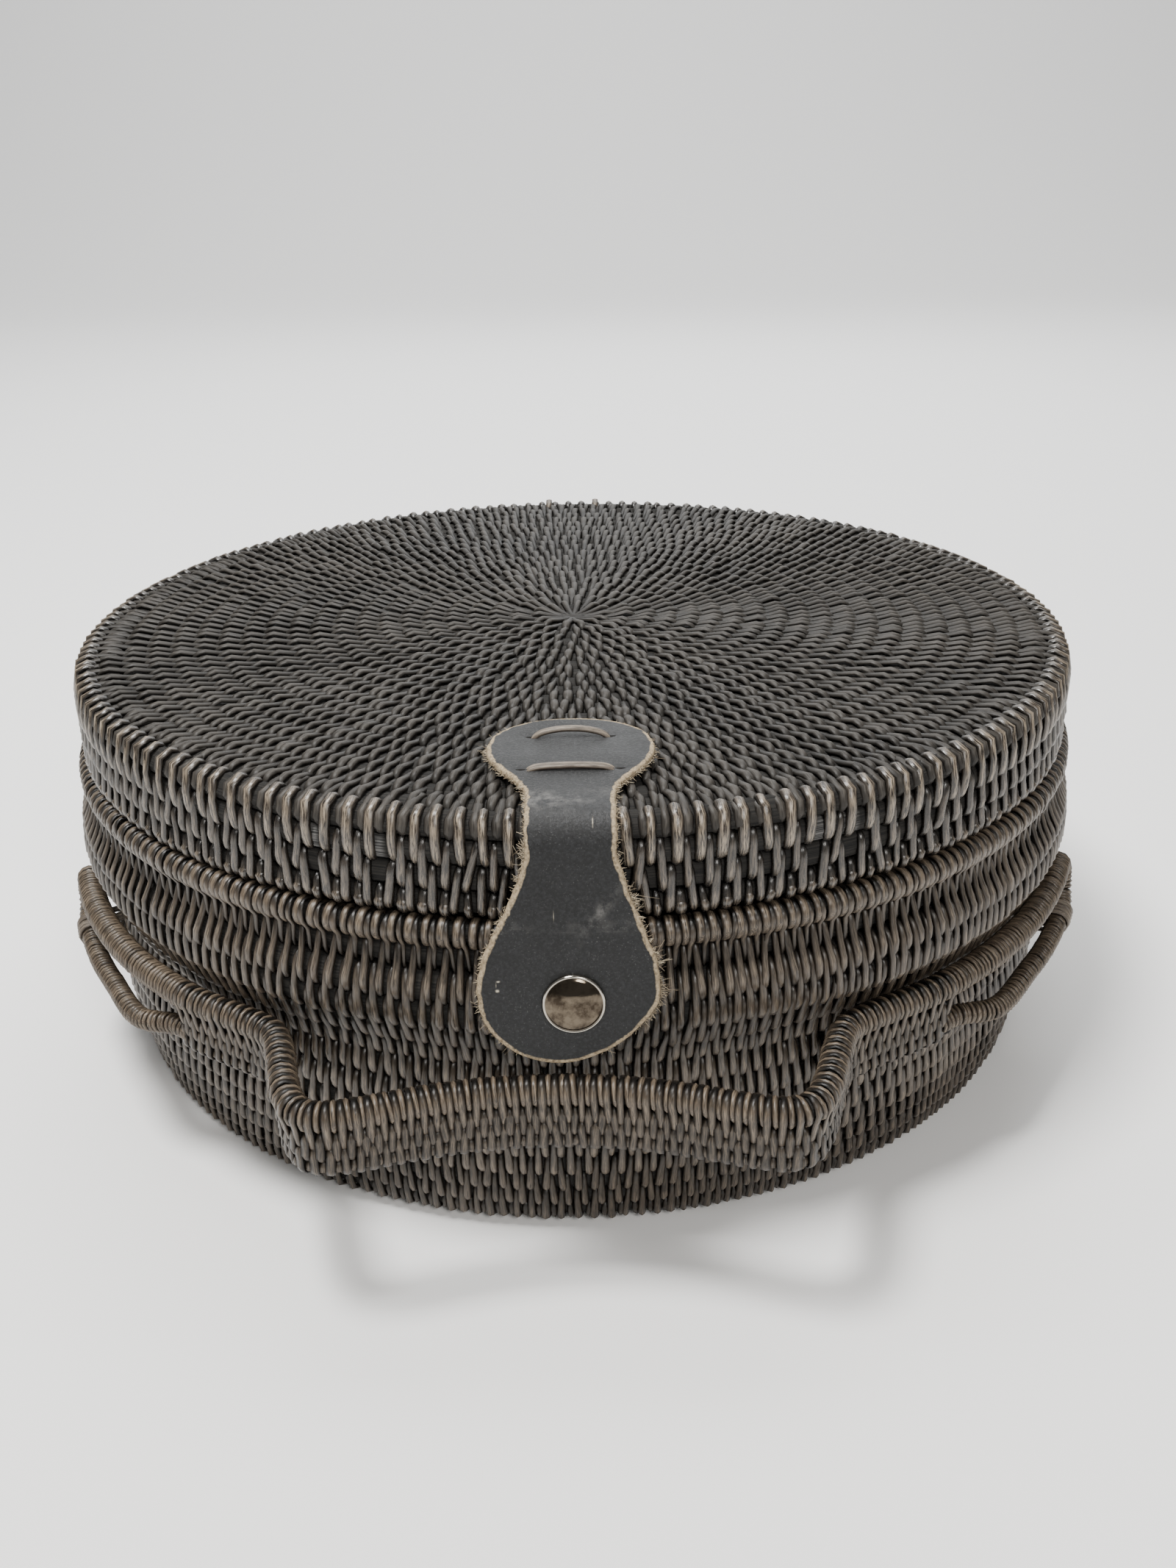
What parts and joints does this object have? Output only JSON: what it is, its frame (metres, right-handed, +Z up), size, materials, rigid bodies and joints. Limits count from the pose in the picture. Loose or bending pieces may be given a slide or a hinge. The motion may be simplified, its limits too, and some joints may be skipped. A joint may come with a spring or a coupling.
{
  "type": "lidded wicker basket",
  "caption": "Low round coiled-cane basket with a hinged coiled lid, a leather snap strap and a wavy wrapped gallery that forms side handles.",
  "frame": {"origin": "centre of the base, on the surface that the basket stands on", "axes": "+Z up along the basket's axis; the snap strap faces -Y and the leather hinge +Y"},
  "size_m": [0.36, 0.4081, 0.1437],
  "materials": {
    "cane_wall": "weathered dark brown-grey split cane, satin",
    "cane_lid": "weathered dark grey split cane, satin",
    "cane_rim": "close-wound brown-grey split cane, satin",
    "cane_lace": "lighter worn split cane, satin",
    "strap_leather": "charcoal leather, matte, raw tan cut edge",
    "snap_metal": "polished nickel with light scratches"
  },
  "bodies": {
    "basket": {"base_disc": "cane_wall", "body_wall": "cane_wall", "body_rim": "cane_rim", "gallery_rod_front": "cane_rim", "gallery_rod_back": "cane_rim", "gallery_band_front": "cane_wall", "gallery_band_back": "cane_wall", "gallery_lashing_front_left": "cane_lace", "gallery_lashing_front_right": "cane_lace", "gallery_lashing_back_left": "cane_lace", "gallery_lashing_back_right": "cane_lace", "snap_stud": "snap_metal", "snap_washer": "snap_metal", "hinge_leather_body": "strap_leather", "hinge_lace_body": "cane_lace"},
    "lid": {"lid_top": "cane_lid", "lid_edge_rod": "cane_lid", "lid_skirt": "cane_wall", "strap_top": "strap_leather", "strap_lace_back": "cane_lace", "strap_lace_front": "cane_lace", "hinge_leather_lid": "strap_leather", "hinge_lace_lid": "cane_lace"},
    "flap": {"strap_flap": "strap_leather", "snap_cap": "snap_metal", "snap_socket": "snap_metal"}
  },
  "joints": [
    {"name": "lid_hinge", "type": "hinge", "parent": "basket", "child": "lid", "pos_m": [0, 0.18, 0.10865], "axis": [-1, 0, 0], "range_deg": [0, 105]},
    {"name": "strap_fold", "type": "hinge", "parent": "lid", "child": "flap", "pos_m": [0, -0.1811, 0.1324], "axis": [-1, 0, 0], "range_deg": [0, 95]}
  ]
}
